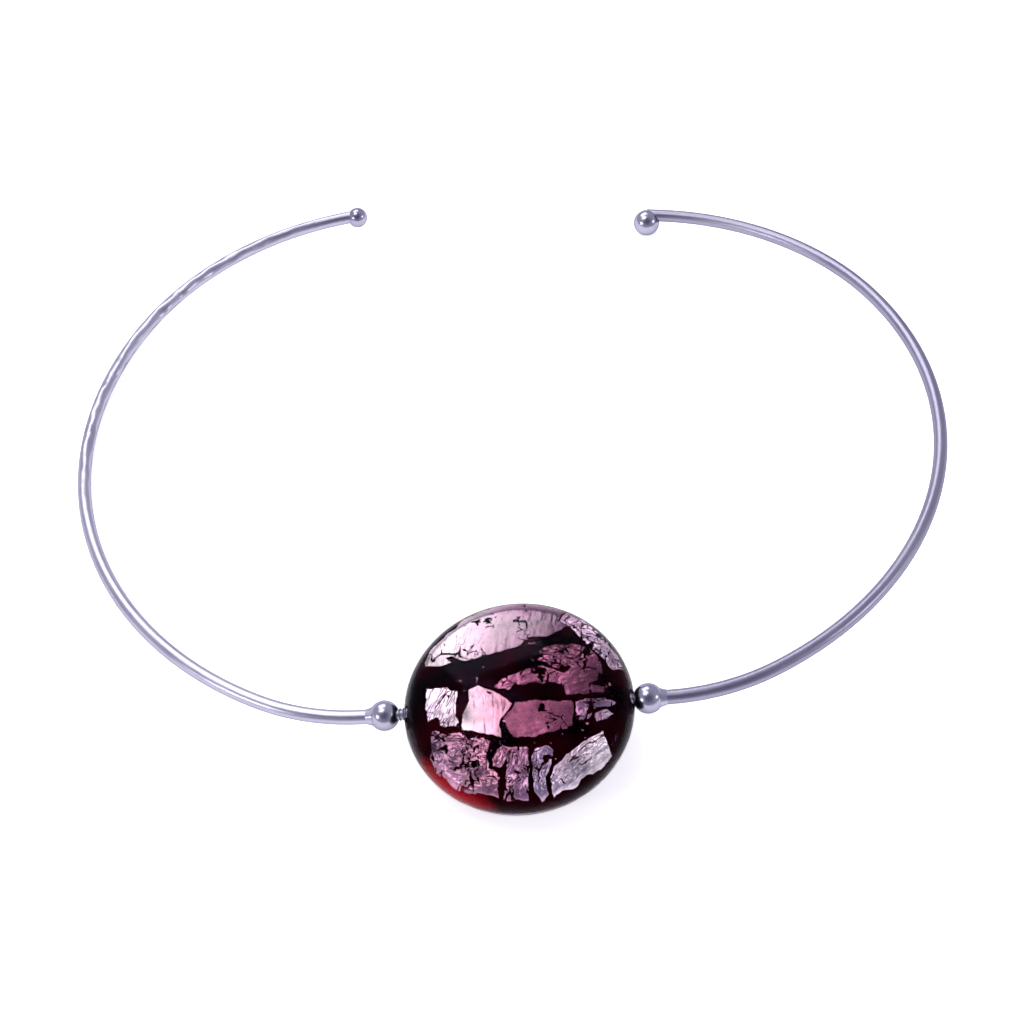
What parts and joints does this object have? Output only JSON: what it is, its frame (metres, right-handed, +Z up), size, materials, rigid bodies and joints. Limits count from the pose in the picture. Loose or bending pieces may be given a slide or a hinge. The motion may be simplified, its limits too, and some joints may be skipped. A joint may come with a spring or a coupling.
{
  "type": "bangle bracelet",
  "caption": "Open wire bangle bracelet with a round cased-glass bead over crackled silver foil, held between screw-on collar balls, and a ball on each open end.",
  "frame": {"origin": "centre of the bounding box in plan, on the table the bracelet lies on", "axes": "+X to the wearer's right along the bead's bore, +Y from the bead to the open end, +Z up out of the ring; as it lies, the ring leans about 4.4 degrees down to the left"},
  "size_m": [0.0712, 0.0638, 0.0067],
  "materials": {
    "polished_wire": "polished, bright plated",
    "polished_ball": "polished, bright plated",
    "solder": "satin, slightly lumpy",
    "stud_steel": "machined",
    "amethyst_glass": "fire-polished clear glass, violet red",
    "dark_glass": "glossy, near-black burgundy glass",
    "silver_foil": "crinkled bright leaf"
  },
  "bodies": {
    "left_half": {"left_arm": "polished_wire", "left_collar_ball": "polished_ball", "left_collar_solder": "solder", "left_tip_ball": "polished_ball", "threaded_stud": "stud_steel"},
    "bead": {"glass_casing": "amethyst_glass", "glass_core": "dark_glass", "silver_foil_front": "silver_foil", "silver_foil_back": "silver_foil"},
    "right_ball": {"right_collar_ball": "polished_ball", "right_collar_solder": "solder"},
    "right_half": {"right_arm": "polished_wire", "right_tip_ball": "polished_ball"}
  },
  "joints": [
    {"name": "bead_spin", "type": "hinge", "parent": "left_half", "child": "bead", "pos_m": [-0.00005, -0.02346, 0.00338], "axis": [0.9971, 0.0003, 0.0767], "continuous": true},
    {"name": "right_ball_travel", "type": "slide", "parent": "left_half", "child": "right_ball", "axis": [0.9971, 0.0003, 0.0767], "range_m": [0, 0.0012]},
    {"name": "right_half_unscrew", "type": "hinge", "parent": "right_ball", "child": "right_half", "pos_m": [-0.00005, -0.02346, 0.00338], "axis": [0.9971, 0.0003, 0.0767], "range_deg": [0, 1620]}
  ],
  "couplings": [
    {"joint": "right_ball_travel", "follows": "right_half_unscrew", "m_per_rad": 0.000039789}
  ]
}
